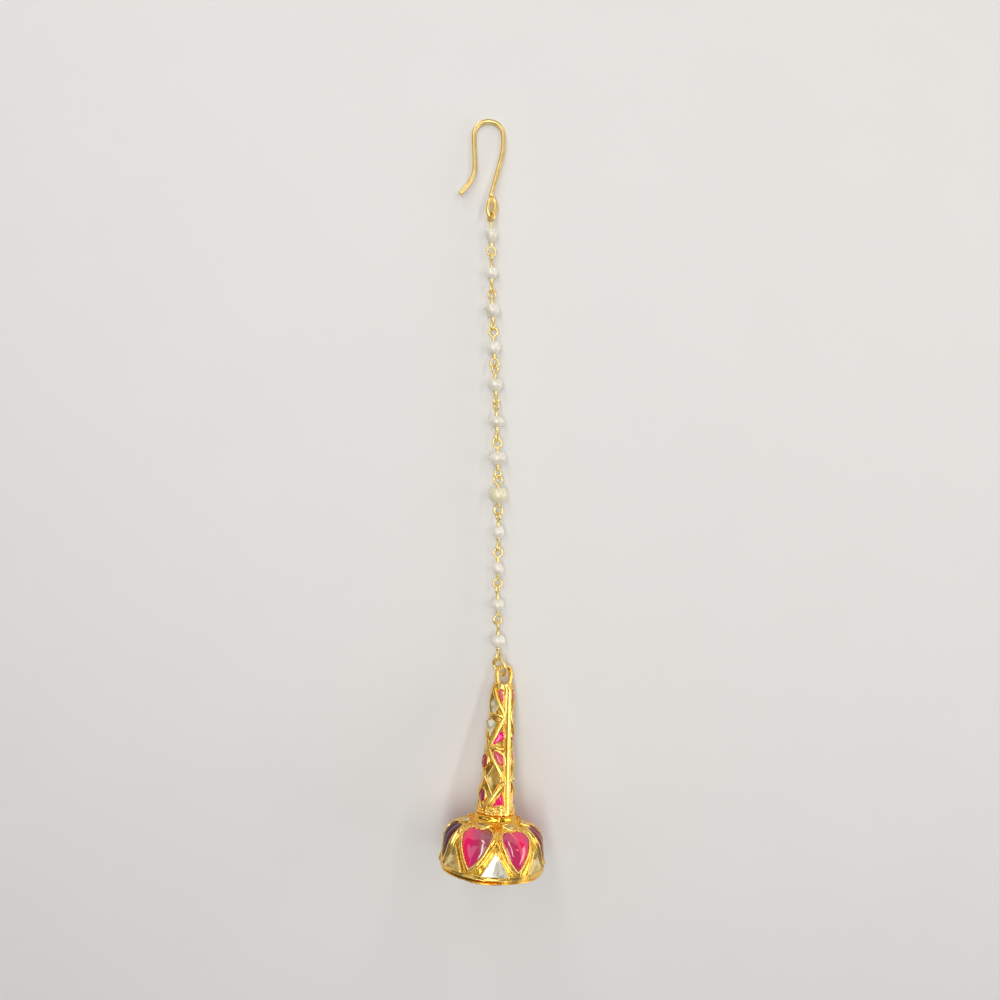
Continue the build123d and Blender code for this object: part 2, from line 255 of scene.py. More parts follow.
def smooth_path(points, steps):
    """A Catmull-Rom curve through the points."""
    points = np.asarray(points, float)
    padded = np.vstack([2 * points[0] - points[1], points, 2 * points[-1] - points[-2]])
    share = np.linspace(0, 1, steps, endpoint=False)[:, None]
    course = []
    for before, start, end, after in zip(padded, padded[1:], padded[2:], padded[3:]):
        course.append(0.5 * (2 * start + (end - before) * share
                             + (2 * before - 5 * start + 4 * end - after) * share ** 2
                             + (3 * start - before - 3 * end + after) * share ** 3))
    return np.vstack([*course, points[-1:]])


def arc(start, through, end, steps):
    """Points on the circle through three flat points, from start up to but without end."""
    start, through, end = (np.array(point, float) for point in (start, through, end))
    spans = np.array([through - start, end - start])
    centre = np.linalg.solve(2 * spans, [through @ through - start @ start, end @ end - start @ start])
    radius = np.linalg.norm(start - centre)
    first, middle, last = (np.arctan2(*(point - centre)[::-1]) for point in (start, through, end))
    forward = (middle - first) % (2 * pi) < (last - first) % (2 * pi)
    turn = (last - first) % (2 * pi) if forward else -((first - last) % (2 * pi))
    angle = first + turn * np.linspace(0, 1, steps, endpoint=False)
    return centre + radius * circle(angle, (1, 0), (0, 1))


def stone_outline(shape, length, width, steps):
    """A stone's outline, as in the CAD part: flat points that run anticlockwise."""
    tip, side = length / 2, width / 2
    shoulder = tip - abs(side)
    halves = {
        "heart": [((0, 0.92 * tip), (0.5 * side, tip), (side, 0.4 * tip)),
                  ((side, 0.4 * tip), (0.66 * side, -0.36 * tip), (0, -tip))],
        "marquise": [((0, tip), (side, 0), (0, -tip))],
        "drop": [((0, tip), (0.71 * side, shoulder + 0.71 * abs(side)), (side, shoulder)),
                 ((side, shoulder), (0.62 * side, -0.35 * tip), (0, -tip))],
    }
    corners = {
        "kite": [(0, -tip), (side, 0.7 * tip), (0, tip), (-side, 0.7 * tip)],
        "wedge": [(-side, -tip), (side, -tip), (0.55 * side, tip)],
        "triangle": [(-side, -tip), (side, -tip), (0, tip)],
        "rhomb": [(0, -tip), (side, 0), (0, tip), (-side, 0)],
    }
    if shape in halves:
        half = np.vstack([arc(*points, steps) for points in halves[shape]])
        loop = np.vstack([half, [(0, -tip)], half[:0:-1] * (-1, 1)])
    else:
        share = np.linspace(0, 1, steps, endpoint=False)[:, None]
        ends = np.array(corners[shape], float)
        legs = zip(ends, np.roll(ends, -1, 0))
        loop = np.vstack([start + share * (end - start) for start, end in legs])
    ahead = np.roll(loop, -1, 0)
    if (loop[:, 0] * ahead[:, 1] - loop[:, 1] * ahead[:, 0]).sum() < 0:
        loop = loop[::-1]
    return loop


def grow(loop, amount):
    """The loop moved outwards by an even amount, with its corners kept and its notch cleared."""
    least_cosine, notch_turn = 0.75, -0.3
    before, after = unit(loop - np.roll(loop, 1, 0)), unit(np.roll(loop, -1, 0) - loop)
    outward = unit(np.stack([before[:, 1] + after[:, 1], -before[:, 0] - after[:, 0]], 1))
    cosine = (outward * np.stack([before[:, 1], -before[:, 0]], 1)).sum(1)
    grown = loop + amount * outward / np.maximum(cosine, least_cosine)[:, None]
    turn = before[:, 0] * after[:, 1] - before[:, 1] * after[:, 0]
    for corner in np.flatnonzero(turn < notch_turn):
        for step in (1, -1):
            beside = (corner + step) % len(loop)
            while (grown[beside] - grown[corner]) @ (loop[beside] - loop[corner]) <= 0:
                grown[beside] = grown[corner]
                beside = (beside + step) % len(loop)
    return grown


def dome_section():
    """The dome's radius and height, from below the rim to the foot of the neck."""
    side, shoulder = np.array(DOME_SIDE), np.array(DOME_SHOULDER)
    rise = unit(side - np.array((RIM_RADIUS, RIM_HEIGHT)))
    inward = np.array((-rise[1], rise[0]))
    chord = shoulder - side
    centre = side + inward * (chord @ chord) / (2 * chord @ inward)
    first, last = (np.arctan2(*(point - centre)[::-1]) for point in (side, shoulder))
    angle = np.linspace(first, last, 24)
    bend = centre + np.linalg.norm(side - centre) * circle(angle, (1, 0), (0, 1))
    return np.vstack([[(RIM_RADIUS, -1), (RIM_RADIUS, RIM_HEIGHT)], bend, [DOME_TOP, NECK_FOOT]])


SECTION = dome_section()
# heights and radii of the stem, which is a little waisted
STEM_COURSE = np.array([(COLLAR_TOP, 3.2), (16.9, 2.76), (22, 2.45), (27.1, 2.2), (STEM_TOP, 1.9)]).T


def dome_radius(height):
    return np.interp(height, SECTION[:, 1], SECTION[:, 0])


def stem_radius(height):
    return np.interp(height, *STEM_COURSE)


def strip_azimuth(height):
    """Where the strip runs, which turns a little round the stem."""
    share = (height - COLLAR_TOP) / (STEM_TOP - COLLAR_TOP)
    return STRIP_FOOT_AZIMUTH + share * (STRIP_HEAD_AZIMUTH - STRIP_FOOT_AZIMUTH)


def polar(radius, azimuth, height):
    """Points on the pendant; azimuth 0 faces up, in degrees."""
    radius, turn, height = np.broadcast_arrays(radius, np.radians(azimuth), height)
    return np.stack([radius * np.sin(turn), -radius * np.cos(turn), height], -1)


def facing(azimuth, radius, height, tilt=0, lean=0):
    """A flat seat on the pendant: its middle, then the directions across it, along it and outwards."""
    turn, rise, roll = radians(azimuth), radians(tilt), radians(lean)
    out = np.array([sin(turn) * cos(rise), -cos(turn) * cos(rise), sin(rise)])
    across = np.array([cos(turn), sin(turn), 0])
    along = np.cross(out, across)
    return (polar(radius, azimuth, height), cos(roll) * across + sin(roll) * along,
            cos(roll) * along - sin(roll) * across, out)


def drape(seat, flat, kind, rise, radius_of=dome_radius, proud=0):
    """Lays flat points over the pendant, along the seat's outward direction. kind is plane for the seat,
    round for the pendant's surface, or across for that surface made flat from side to side."""
    middle, across, along, out = seat
    start = middle + flat[:, :1] * across + flat[:, 1:] * along
    if kind == "plane":
        return start + np.reshape(rise, (-1, 1)) * out
    level = np.linalg.norm(out[:2])
    depth = np.zeros(len(flat))
    tries, share, step = 16, 0.9, 0.02
    for _ in range(tries):
        points = start + depth[:, None] * out
        if kind == "across":
            reach, lead = points[:, :2] @ out[:2] / level, level
        else:
            reach = np.hypot(points[:, 0], points[:, 1])
            lead = points[:, :2] @ out[:2] / reach
        slope = (radius_of(points[:, 2] + step) - radius_of(points[:, 2] - step)) / (2 * step)
        depth -= share * (reach - radius_of(points[:, 2]) - proud) / (lead - slope * out[2])
    return start + (depth + rise)[:, None] * out


def collet(shape, seat, loop, section, radius_of=dome_radius, proud=0, floor=0):
    """A band around a stone: how far out, on which surface and how high each edge of its section runs.
    It stops at the height floor, where the rim is."""
    loops = []
    for far, kind, rise in section:
        lifted = proud if kind == "across" else 0
        edge = drape(seat, grow(loop, far), kind, rise, radius_of, lifted)
        edge[:, 2] = np.maximum(edge[:, 2], floor)
        loops.append(edge)
    shape.skin(loops, ring=True)


def revolve(section, steps, waver, scale):
    """A turned form from pairs of a radius and a height. waver roughens it a little, as handwork does."""
    azimuth = np.arange(steps) * 360 / steps
    loops = np.array([polar(radius, azimuth, height) for radius, height in section])
    push = waver * ripple(loops, scale, 3.1)
    spread = np.hypot(loops[..., 0], loops[..., 1])
    loops[..., :2] *= (1 + push / np.maximum(spread, 0.5))[..., None]
    shape = Shape()
    shape.skin(loops)
    return shape


def ribbon(shape, course, section):
    """A band on the stem. course has degrees from the strip and heights, and section sideways and rise."""
    azimuth, height = course.T
    radius = stem_radius(height)
    spread = np.radians(azimuth + strip_azimuth(height)) * radius
    ahead = unit(np.stack([np.gradient(spread), np.gradient(height)], 1))
    loops = []
    for sideways, rise in section:
        at = height - sideways * ahead[:, 0]
        turn = np.degrees((spread + sideways * ahead[:, 1]) / radius)
        loops.append(polar(stem_radius(at) + rise, turn, at))
    shape.skin(np.stack(loops, 1))


def bead(shape, spot, radius, azimuth, lift, flat):
    """A small ball at a spot (radius, azimuth and height), pressed flatter along an azimuth and a lift."""
    out = unit(polar(1, azimuth, lift))
    side = unit(np.cross(out, ASKEW_BEAD))
    ring = circle(full_turn(14), side, np.cross(out, side))
    first, rings = 0.12, 9
    shape.skin([polar(*spot) + radius * (flat * cos(turn) * out + sin(turn) * ring)
                for turn in np.linspace(first, pi - first, rings)])


# ---- materials ----
class Nodes:
    """A material's node tree, with short ways to add and join nodes."""

    def __init__(self, name):
        self.material = bpy.data.materials.new(name)
        self.material.use_nodes = True
        self.tree = self.material.node_tree
        self.shader = self.tree.nodes["Principled BSDF"]
        self.place = self.new("ShaderNodeTexCoord").outputs["Object"]

    def new(self, kind, inputs=(), **settings):
        """A new node, with values or sockets for its inputs."""
        node = self.tree.nodes.new(kind)
        for key, value in settings.items():
            setattr(node, key, value)
        for key, value in dict(inputs).items():
            self.join(value, node.inputs[key])
        return node

    def join(self, source, target):
        """Joins a socket to the target, or sets the target to a plain value."""
        if isinstance(source, bpy.types.NodeSocket):
            self.tree.links.new(source, target)
        else:
            target.default_value = source

    def noise(self, scale, detail=3, rough=0.55):
        inputs = {"Scale": scale / MM, "Detail": detail, "Roughness": rough, "Vector": self.place}
        return self.new("ShaderNodeTexNoise", inputs).outputs["Fac"]

    def cells(self, scale, output="Distance"):
        return self.new("ShaderNodeTexVoronoi", {"Scale": scale / MM, "Vector": self.place}).outputs[output]

    def tone(self):
        return self.new("ShaderNodeAttribute", attribute_name="tone").outputs["Fac"]

    def add(self, first, second):
        return self.new("ShaderNodeMath", {0: first, 1: second}, operation="ADD").outputs["Value"]

    def ramp(self, source, stops):
        node = self.new("ShaderNodeValToRGB", {"Fac": source})
        elements = node.color_ramp.elements
        while len(elements) < len(stops):
            elements.new(0.5)
        for element, (position, color) in zip(elements, stops):
            element.position, element.color = position, (*color, 1)
        return node.outputs["Color"]

    def remap(self, source, low, high, start=0.25, end=0.75):
        """The source's range from start to end, stretched to run from low to high."""
        inputs = {"Value": source, "From Min": start, "From Max": end, "To Min": low, "To Max": high}
        return self.new("ShaderNodeMapRange", inputs).outputs["Result"]

    def mix(self, factor, first, second):
        node = self.new("ShaderNodeMix", {"Factor": factor}, data_type="RGBA")
        colours = [socket for socket in node.inputs if socket.type == "RGBA"]
        self.join(first, colours[0])
        self.join(second, colours[1])
        return next(socket for socket in node.outputs if socket.type == "RGBA")

    def bump(self, layers):
        """Height maps laid one over another, as (source, height in mm)."""
        below = {}
        for source, height in layers:
            inputs = {"Distance": height * MM, "Height": source, **below}
            below = {"Normal": self.new("ShaderNodeBump", inputs).outputs["Normal"]}
        self.set(**below)

    def set(self, **values):
        """Sets or joins the shader's inputs."""
        for name, value in values.items():
            self.join(value, self.shader.inputs[name.replace("_", " ")])


def gold(name, pale, deep, rough, dents, grain):
    """High-carat gold. rough is its range of roughness, and dents and grain are its unevenness in mm."""
    nodes = Nodes(name)
    nodes.set(Metallic=1, Base_Color=nodes.ramp(nodes.noise(0.55, 4), [(0.3, deep), (0.62, pale)]),
              Roughness=nodes.remap(nodes.noise(2.2, 5, 0.65), *rough))
    nodes.bump([(nodes.noise(0.9, 2), dents), (nodes.noise(5, 4, 0.6), grain)])
    return nodes.material


def ruby(name, stops, index):
    """Polished ruby, a little clouded: stops are its colours along the tone, which on the hearts is painted
    reflection and painted shade, and index is its refraction.
    """
    nodes = Nodes(name)
    # the tone carries the hearts' painted reflection and painted shade; the noise is a faint clouding
    clouding_and_tone = nodes.add(nodes.tone(), nodes.remap(nodes.noise(0.5), -0.05, 0.07))
    nodes.set(IOR=index, Base_Color=nodes.ramp(clouding_and_tone, stops),
              Roughness=nodes.remap(nodes.noise(1.5, 4), 0.02, 0.06))
    nodes.bump([(nodes.noise(0.35, 1), 0.004), (nodes.noise(9), 0.0001)])
    return nodes.material


def polki(name, dark, mid, light, metal):
    """Flat uncut diamond over crumpled foil; where a stone's facets are given their tones, the tone is
    painted reflection.
    """
    nodes = Nodes(name)
    shade = nodes.add(nodes.tone(), nodes.remap(nodes.cells(0.9, "Color"), -0.25, 0.25, 0, 1))
    foil = nodes.mix(0.18, nodes.ramp(shade, [(0.15, light), (0.5, mid), (0.9, dark)]),
                     nodes.ramp(nodes.noise(0.8), [(0.35, dark), (0.5, mid), (0.62, light)]))
    nodes.set(Base_Color=foil, Roughness=nodes.remap(nodes.noise(1.2), 0.05, 0.16), Metallic=metal,
              IOR=1.8, Coat_Weight=0.5, Coat_Roughness=0.03, Coat_IOR=1.6)
    nodes.bump([(nodes.cells(0.9), 0.05), (nodes.noise(2.5), 0.006)])
    return nodes.material


def pearl(name, light, shade, blush):
    """Glossy layers over a cloudy body, with a faint blush."""
    nodes = Nodes(name)
    body = nodes.ramp(nodes.noise(0.45), [(0.35, shade), (0.62, light)])
    nodes.set(Base_Color=nodes.mix(nodes.remap(nodes.noise(0.25, 2), 0, 0.3), body, (*blush, 1)),
              Roughness=nodes.remap(nodes.noise(1.6, 3, 0.5), 0.24, 0.32),
              IOR=1.7, Coat_Weight=1, Coat_Roughness=0.2, Coat_IOR=1.6,
              Subsurface_Weight=0.1, Subsurface_Radius=(0.0009, 0.0007, 0.0005), Subsurface_Scale=1)
    nodes.bump([(nodes.noise(0.6, 1), 0.004), (nodes.noise(7, 2, 0.5), 0.0001)])
    return nodes.material


BRIGHT, MID, DEEP = (1, 0.71, 0.21), (0.92, 0.53, 0.08), (0.62, 0.32, 0.03)
gold_wire = gold("gold_wire", (1, 0.78, 0.34), (0.9, 0.62, 0.2), (0.28, 0.36), 0.001, 0.0002)
gold_chain = gold("gold_chain", (1, 0.82, 0.4), (0.96, 0.72, 0.27), (0.28, 0.38), 0.0015, 0.0004)
gold_polished = gold("gold_polished", BRIGHT, MID, (0.17, 0.28), 0.01, 0.0008)
gold_band = gold("gold_band", BRIGHT, MID, (0.18, 0.28), 0.006, 0.0003)
gold_foil = gold("gold_foil", (0.98, 0.58, 0.08), (0.62, 0.32, 0.03), (0.18, 0.34), 0.08, 0.003)
gold_well = gold("gold_well", (0.58, 0.38, 0.09), (0.26, 0.16, 0.03), (0.3, 0.48), 0.1, 0.006)
gold_ring = gold("gold_ring", (1, 0.58, 0.08), (0.88, 0.44, 0.04), (0.12, 0.22), 0.025, 0.0012)
gold_plain = gold("gold_plain", MID, (0.8, 0.44, 0.06), (0.22, 0.34), 0.012, 0.0008)
# colours along the hearts' tone: bright magenta, then a painted milky mauve reflection, then dark wine for
# painted shade
HEART_STOPS = [(0, (0.8, 0.11, 0.15)), (0.1, (1, 0, 0.13)), (0.2, (0.88, 0, 0.11)),
               (0.34, (0.68, 0.01, 0.16)), (0.46, (0.58, 0.02, 0.11)), (0.62, (0.42, 0.1, 0.13)),
               (0.8, (0.24, 0.012, 0.04)), (0.95, (0.085, 0.003, 0.02))]
ruby_heart = ruby("ruby_heart", HEART_STOPS, 1.9)
# the same colours for the hearts in painted shade, with a weaker reflection
ruby_heart_in_shade = ruby("ruby_heart_in_shade", HEART_STOPS, 1.22)
ruby_small = ruby("ruby_small", [(0, (1, 0, 0.27)), (0.2, (0.9, 0, 0.15)), (0.6, (0.66, 0.05, 0.09)),
                                 (0.8, (0.7, 0.08, 0.11)), (1, (0.36, 0.01, 0.06))], 1.72)
polki_clear = polki("polki_clear", (0.26, 0.25, 0.13), (0.62, 0.59, 0.44), (1, 1, 0.95), 0.1)
polki_stem = polki("polki_stem", (0.26, 0.19, 0.06), (0.74, 0.63, 0.38), (1, 0.95, 0.78), 0.05)
# a copy with a painted reflection of the surrounding gold, for the side triangles and the shoulder stones
polki_gold_reflection = polki("polki_gold_reflection", (0.22, 0.12, 0.015), (0.74, 0.46, 0.07), (1, 0.85, 0.44), 0.4)
polki_foil = polki("polki_foil", (0.34, 0.18, 0.02), (0.84, 0.5, 0.08), (1, 0.76, 0.26), 0.5)
pearl_cream = pearl("pearl_cream", (0.9, 0.87, 0.76), (0.76, 0.71, 0.56), (0.9, 0.8, 0.72))
pearl_yellow = pearl("pearl_yellow", (0.92, 0.88, 0.64), (0.78, 0.7, 0.44), (0.93, 0.86, 0.66))

# ---- hook: a bent wire with two blunt ends, and a closed eye behind its shank ----
HOOK_RADIUS = 0.44
EYE_CENTRE = np.array([-0.17, 55.7, 1.42])
HOOK_SLOPE = radians(3.3)
HOOK_CORNERS = [(-0.1, 2), (2.32, 11.2), (2.32, 16.9), (-3.5, 16.9), (-3.22, 6.1), (-6, 2.7)]
HOOK_BENDS = [14, 2.8, 2.8, 6]
# sideways, along and up from the eye's centre
HOOK_EYE = [(0.22, 2.2, -0.42), (0.56, 1.6, -0.55), (0.78, 0.8, -0.62), (0.8, -0.1, -0.62),
            (0.56, -0.95, -0.52), (0.18, -1.7, -0.22), (-0.22, -2, 0.08), (-0.52, -1.68, 0.36),
            (-0.64, -1, 0.5), (-0.56, -0.1, 0.46), (-0.34, 0.9, 0.24), (-0.06, 1.7, -0.08)]
# the shank rises towards the eye, and the eye's wire thickens away from the chain
SHANK_RISE, RISE_START, RISE_LENGTH, SHANK_SIDE = 0.42, 9, 6, -2
EYE_SWELL, SWELL_START, SWELL_LENGTH = 0.05, -1.6, 1.2
HOOK_STEP = 0.4


def on_hook(flat, rise):
    """Points along the hook's sloping plane, and risen from it."""
    up = np.array([0, sin(HOOK_SLOPE), cos(HOOK_SLOPE)])
    along = np.array([0, cos(HOOK_SLOPE), -sin(HOOK_SLOPE)])
    return EYE_CENTRE + flat[:, :1] * (1, 0, 0) + flat[:, 1:2] * along + rise[:, None] * up


def rounded(corners, bends, steps):
    """A flat path with its inner corners rounded."""
    corners = np.array(corners, float)
    course = [corners[:1]]
    for before, corner, after, bend in zip(corners, corners[1:], corners[2:], bends):
        back, ahead = unit(before - corner), unit(after - corner)
        half = np.arccos(np.clip(back @ ahead, -1, 1)) / 2
        setback = bend / tan(half)
        centre = corner + unit(back + ahead) * bend / sin(half)
        start, end = corner + back * setback - centre, corner + ahead * setback - centre
        share = np.linspace(0, 1, steps)[:, None]
        sweep = pi - 2 * half
        turned = np.sin((1 - share) * sweep) * start + np.sin(share * sweep) * end
        course.append(centre + turned / sin(sweep))
    return np.vstack([*course, corners[-1:]])


bent = rounded(HOOK_CORNERS, HOOK_BENDS, 40)[::-1]
legs = [np.linspace(start, end, max(1, int(np.linalg.norm(end - start) / HOOK_STEP)), endpoint=False)
        for start, end in zip(bent, bent[1:])]
flat = np.vstack([*legs, HOOK_CORNERS[:1]])
nearness = np.clip((RISE_START - flat[:, 1]) / RISE_LENGTH, 0, 1)
shank_rise = SHANK_RISE * nearness ** 2 * (flat[:, 0] > SHANK_SIDE)
# smoothed with its first points repeated, then cut where it overlaps
eye = smooth_path(HOOK_EYE + HOOK_EYE[:3], 6)[6:-12]
eye = on_hook(eye[:, :2], eye[:, 2])
eye_swell = EYE_SWELL * np.clip((eye[:, 1] - EYE_CENTRE[1] - SWELL_START) / SWELL_LENGTH, 0, 1)
hook = Shape()
tube(hook, on_hook(flat, shank_rise), HOOK_RADIUS, 20)
tube(hook, eye, HOOK_RADIUS + eye_swell, 20, closed=True)
piece("hook_wire", hook, gold_wire, ["hook"], pendant=False)

# ---- pearls on their wires ----
EYE_RADIUS, WIRE_RADIUS, CLEARANCE, PEARL_BORE = 0.84, 0.23, 0.06, 0.3
# an eye's ring runs EYE_TURN degrees to each side, and its ends meet in the throat below it
EYE_TURN, THROAT_REACH, THROAT_SIDE = 164, 0.2, 0.12
# under an eye is a wound neck, which flares to the pearl
NECK_RADIUS, NECK_FLARE, WIND_HEIGHT, WIND_PITCH, PLAY = 0.26, 0.15, 0.022, 0.3, 0.02
UNEVEN_SCALE, SKIN_SCALE, SKIN_HEIGHT, YELLOW_PEARL = 1.9, 0.5, 0.0006, 7
HOOK_JOINT, RING_JOINT = (-0.19, 54.27, 1.53), (1.14, -33.2, 2.1)
# how far the upper and the lower eye of each wire are turned about it
EYE_TURNS = [(-40, 15), (-80, 75), (-35, 65), (0, -15), (50, 55), (-58, 70), (5, 48), (-15, 20), (-65, 75),
             (5, 8), (70, 25), (-85, 60)]
# how far each pearl tapers to one end, is squared, leans to a side, and how uneven it is
FORMS = [(0.26, 0, 0.05, 0.02), (0, 0.05, 0, 0.022), (0.05, 0.1, -0.04, 0.02), (-0.05, 0, 0.16, 0.03),
         (0.04, 0.08, 0, 0.02), (0, 0.12, 0, 0.018), (0.05, 0.14, 0.05, 0.02), (0.06, 0.08, 0.04, 0.02),
         (-0.03, 0, 0.14, 0.025), (-0.06, 0, -0.12, 0.035), (0.03, 0.05, 0.05, 0.02), (0.05, 0.08, 0, 0.022)]

boxes = [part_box(f"pearl_{number + 1:02d}") for number in range(PEARL_COUNT)]
centres = [np.array((low + high) / 2) / MM for low, high in boxes]
between = [(upper + lower) / 2 for upper, lower in zip(centres, centres[1:])]
joints = [np.array(HOOK_JOINT), *between, np.array(RING_JOINT)]
# from the joint where two eyes meet to an eye's centre
setback = EYE_RADIUS - WIRE_RADIUS - CLEARANCE / 2


def pearl_body(centre, along, width, length, form, seed):
    taper, squareness, lean, unevenness = form
    side = unit(np.cross(along, (0, 0, 1)))
    level = circle(full_turn(48), side, np.cross(side, along))
    mouth = np.arcsin(PEARL_BORE / (width / 2))
    loops = []
    for turn in np.linspace(mouth, pi - mouth, 34):
        narrowing = (1 + taper * cos(turn)) / (1 + 0.5 * abs(taper))
        radius = width / 2 * sin(turn) ** (1 - squareness) * narrowing
        height = length / 2 * cos(turn)
        ring = centre + along * height + side * (lean * height) + radius * level
        swell = unevenness * sin(turn) * (ripple(ring, UNEVEN_SCALE, seed) - 0.5)
        swell += SKIN_HEIGHT * ripple(ring, SKIN_SCALE, seed)
        loops.append(ring + (ring - centre) * swell[:, None])
    # the drilled mouths: narrower than the ring at each end, and sunk
    narrow, sunk = 0.85, 0.35
    mouths = [(loops[end] - loops[end].mean(0)) * narrow + loops[end].mean(0) - sign * along * sunk
              for end, sign in ((0, 1), (-1, -1))]
    shape = Shape()
    shape.skin([mouths[0], *loops, mouths[1]])
    return shape


def wire_end(shape, centre, foot, lateral, along):
    """One end of a pearl's wire: a round eye, and a neck wound down to the pearl."""
    across = square(lateral, along)
    eye = centre + EYE_RADIUS * circle(np.radians(np.linspace(-EYE_TURN, EYE_TURN, 40)), along, across)
    throat = centre - along * (EYE_RADIUS + THROAT_REACH)
    tube(shape, np.vstack([throat - across * THROAT_SIDE, eye, throat + across * THROAT_SIDE]), WIRE_RADIUS)
    share = np.linspace(0, 1, 40)
    gap = (centre - foot) @ along - EYE_RADIUS - PLAY
    winds = max(2, round(gap / WIND_PITCH))
    neck = NECK_RADIUS + NECK_FLARE * share ** 1.5 + WIND_HEIGHT * np.abs(np.sin(winds * pi * share))
    tube(shape, centre - along * (EYE_RADIUS + PLAY + gap * share[:, None]), neck, 16)


for number, (centre, form) in enumerate(zip(centres, FORMS)):
    upper, lower = joints[number], joints[number + 1]
    along = unit(upper - lower)
    low, high = boxes[number]
    width, length = (high[0] - low[0]) / MM, (high[1] - low[1]) / MM
    name = f"{number + 1:02d}"
    below = (centre - lower) @ along
    middle = lower + along * below
    above = np.linalg.norm(upper - lower) - below
    body = pearl_body(middle, along, width, length, form, 7.3 * number)
    material = pearl_yellow if number == YELLOW_PEARL else pearl_cream
    piece(f"pearl_body_{name}", body, material, [f"pearl_{name}"], pendant=False)
    wire = Shape()
    for reach, sign, turn in zip((above, below), (1, -1), EYE_TURNS[number]):
        lateral = np.array([cos(radians(turn)), 0, -sin(radians(turn))])
        foot = middle + sign * along * (length / 2 + PLAY)
        wire_end(wire, middle + sign * along * (reach - setback), foot, lateral, sign * along)
    # the wire's run inside the pearl, a little thinner and shorter
    inside = along * length * 0.45
    tube(wire, [middle - inside, middle, middle + inside], WIRE_RADIUS * 0.9, 8)
    piece(f"chain_wire_{name}", wire, gold_chain, [f"pearl_wire_{name}"], pendant=False)

# ---- jump ring: round wire with its ends butted together ----
RING_CENTRE, RING_NORMAL = np.array([1.4, -34.5, 1.95]), unit(np.array([-0.77, -0.2, 0.6]))
RING_RADIUS, RING_WIRE, RING_START, RING_END = 1.8, 0.36, -62, 294
ring_side = unit(np.cross(RING_NORMAL, (0, 1, 0)))
turns = np.radians(np.linspace(RING_START, RING_END, 72))
ring = Shape()
loop = circle(turns, np.cross(ring_side, RING_NORMAL), ring_side)
tube(ring, RING_CENTRE + RING_RADIUS * loop, RING_WIRE, 16)
piece("jump_ring_wire", ring, gold_chain, ["jump_ring"], pendant=False)

# ---- pendant body ----
EDGE_TURNS = np.arange(240) * 1.5


def near(azimuth, spread, power=2):
    """A smooth hump along EDGE_TURNS: 1 at the azimuth, and 0 away from it."""
    return np.exp(-(((EDGE_TURNS + 180) % 360 - 180 - azimuth) / spread) ** power)


profile = np.vstack([[(RIM_RADIUS - 0.05, 0.3), (RIM_RADIUS - 0.02, RIM_HEIGHT)],
                     np.linspace((RIM_RADIUS, RIM_HEIGHT), DOME_SIDE, 14)[1:], SECTION[3:-2],
                     np.linspace(DOME_SHOULDER, DOME_TOP, 8)])
dome = revolve(profile, 300, waver=0.07, scale=0.8)
piece("dome_shell", dome, gold_foil, sharp=60)

# the rim is two rolls. On the left the lower one is bent to the upper, and a bead sits on it.
RIM_SECTION = [(9.2, 0.05), (9.4, 0.05), (9.5, 0.12), (9.56, 0.2), (9.66, 0.22), (9.75, 0.25), (9.8, 0.33),
               (9.77, 0.42), (9.7, 0.47), (9.7, 0.62), (9.7, 0.78), (9.77, 0.83), (9.8, 0.92), (9.76, 1.02),
               (9.67, 1.08), (9.5, 1.12), (9.2, 1)]
RIM_WAVER, RIM_WAVER_SCALE, RIM_LIFT, RIM_LIFT_AZIMUTH, RIM_LIFT_SPREAD = 0.004, 1.6, 0.36, -52, 24
RIM_BEAD_AZIMUTH = -88
rim = Shape()
loops = np.array([polar(radius, EDGE_TURNS, height) for radius, height in RIM_SECTION])
loops[..., :2] *= 1 + RIM_WAVER * ripple(loops, RIM_WAVER_SCALE, 5)[..., None]
lift = RIM_LIFT * near(RIM_LIFT_AZIMUTH, RIM_LIFT_SPREAD)
loops[..., 2] += lift * np.clip(1 - loops[..., 2] / RIM_HEIGHT, 0, 1)
rim.skin(loops, ring=True)
bead(rim, (9.75, RIM_BEAD_AZIMUTH, 0.95), 0.36, RIM_BEAD_AZIMUTH, 0, 0.9)
piece("rim_band", rim, gold_band)

# the base plate has a lip on the side that faces up, and a slightly wavy edge
PLATE_SECTION = [(2, -0.21), (5, -0.23), (8.6, -0.25), (9.2, -0.25), (9.4, -0.24), (9.47, -0.16),
                 (9.46, -0.03), (9.38, 0.05), (9.2, 0.07)]
LIP, LIP_AZIMUTH, LIP_SPREAD, PLATE_WAVE, PLATE_WAVES, PLATE_EDGE = 0.55, -9, 16, 0.03, 9, 9
plate = Shape()
lip = LIP * near(LIP_AZIMUTH, LIP_SPREAD, 4) + PLATE_WAVE * np.sin(np.radians(EDGE_TURNS) * PLATE_WAVES)
plate.skin([polar(radius + lip * (radius > PLATE_EDGE), EDGE_TURNS, height)
            for radius, height in PLATE_SECTION])
piece("base_plate", plate, gold_plain)

# the neck ring: a worn moulding, with nuggets melted onto its foot
NECK_SECTION = [(4.62, 8.4), (4.5, 8.56), (4.3, 8.66), (4.08, 8.78), (4, 8.95), (4, 9.15), (3.96, 9.32),
                (3.86, 9.46), (3.72, 9.58), (3.5, 9.64)]
NUGGET_SEED, NUGGET_STEP = 21, 12.5
neck = revolve(NECK_SECTION, 160, waver=0.16, scale=1.3)
draw = np.random.default_rng(NUGGET_SEED).uniform
for turn in np.arange(0, 360, NUGGET_STEP):
    turn += draw(-5, 5)
    spot = (draw(4.25, 4.75), turn, draw(8.42, 8.62))
    size = draw(0.22, 0.4)
    turn += draw(-40, 40)
    bead(neck, spot, size, turn, draw(0, 1.2), draw(0.5, 0.9))
piece("neck_ring", neck, gold_ring)

COLLAR_SECTION = [(3.3, 9.6), (3.52, 9.72), (3.5, 10.2), (3.42, 10.9), (3.34, 11.1), (3.1, 11.2)]
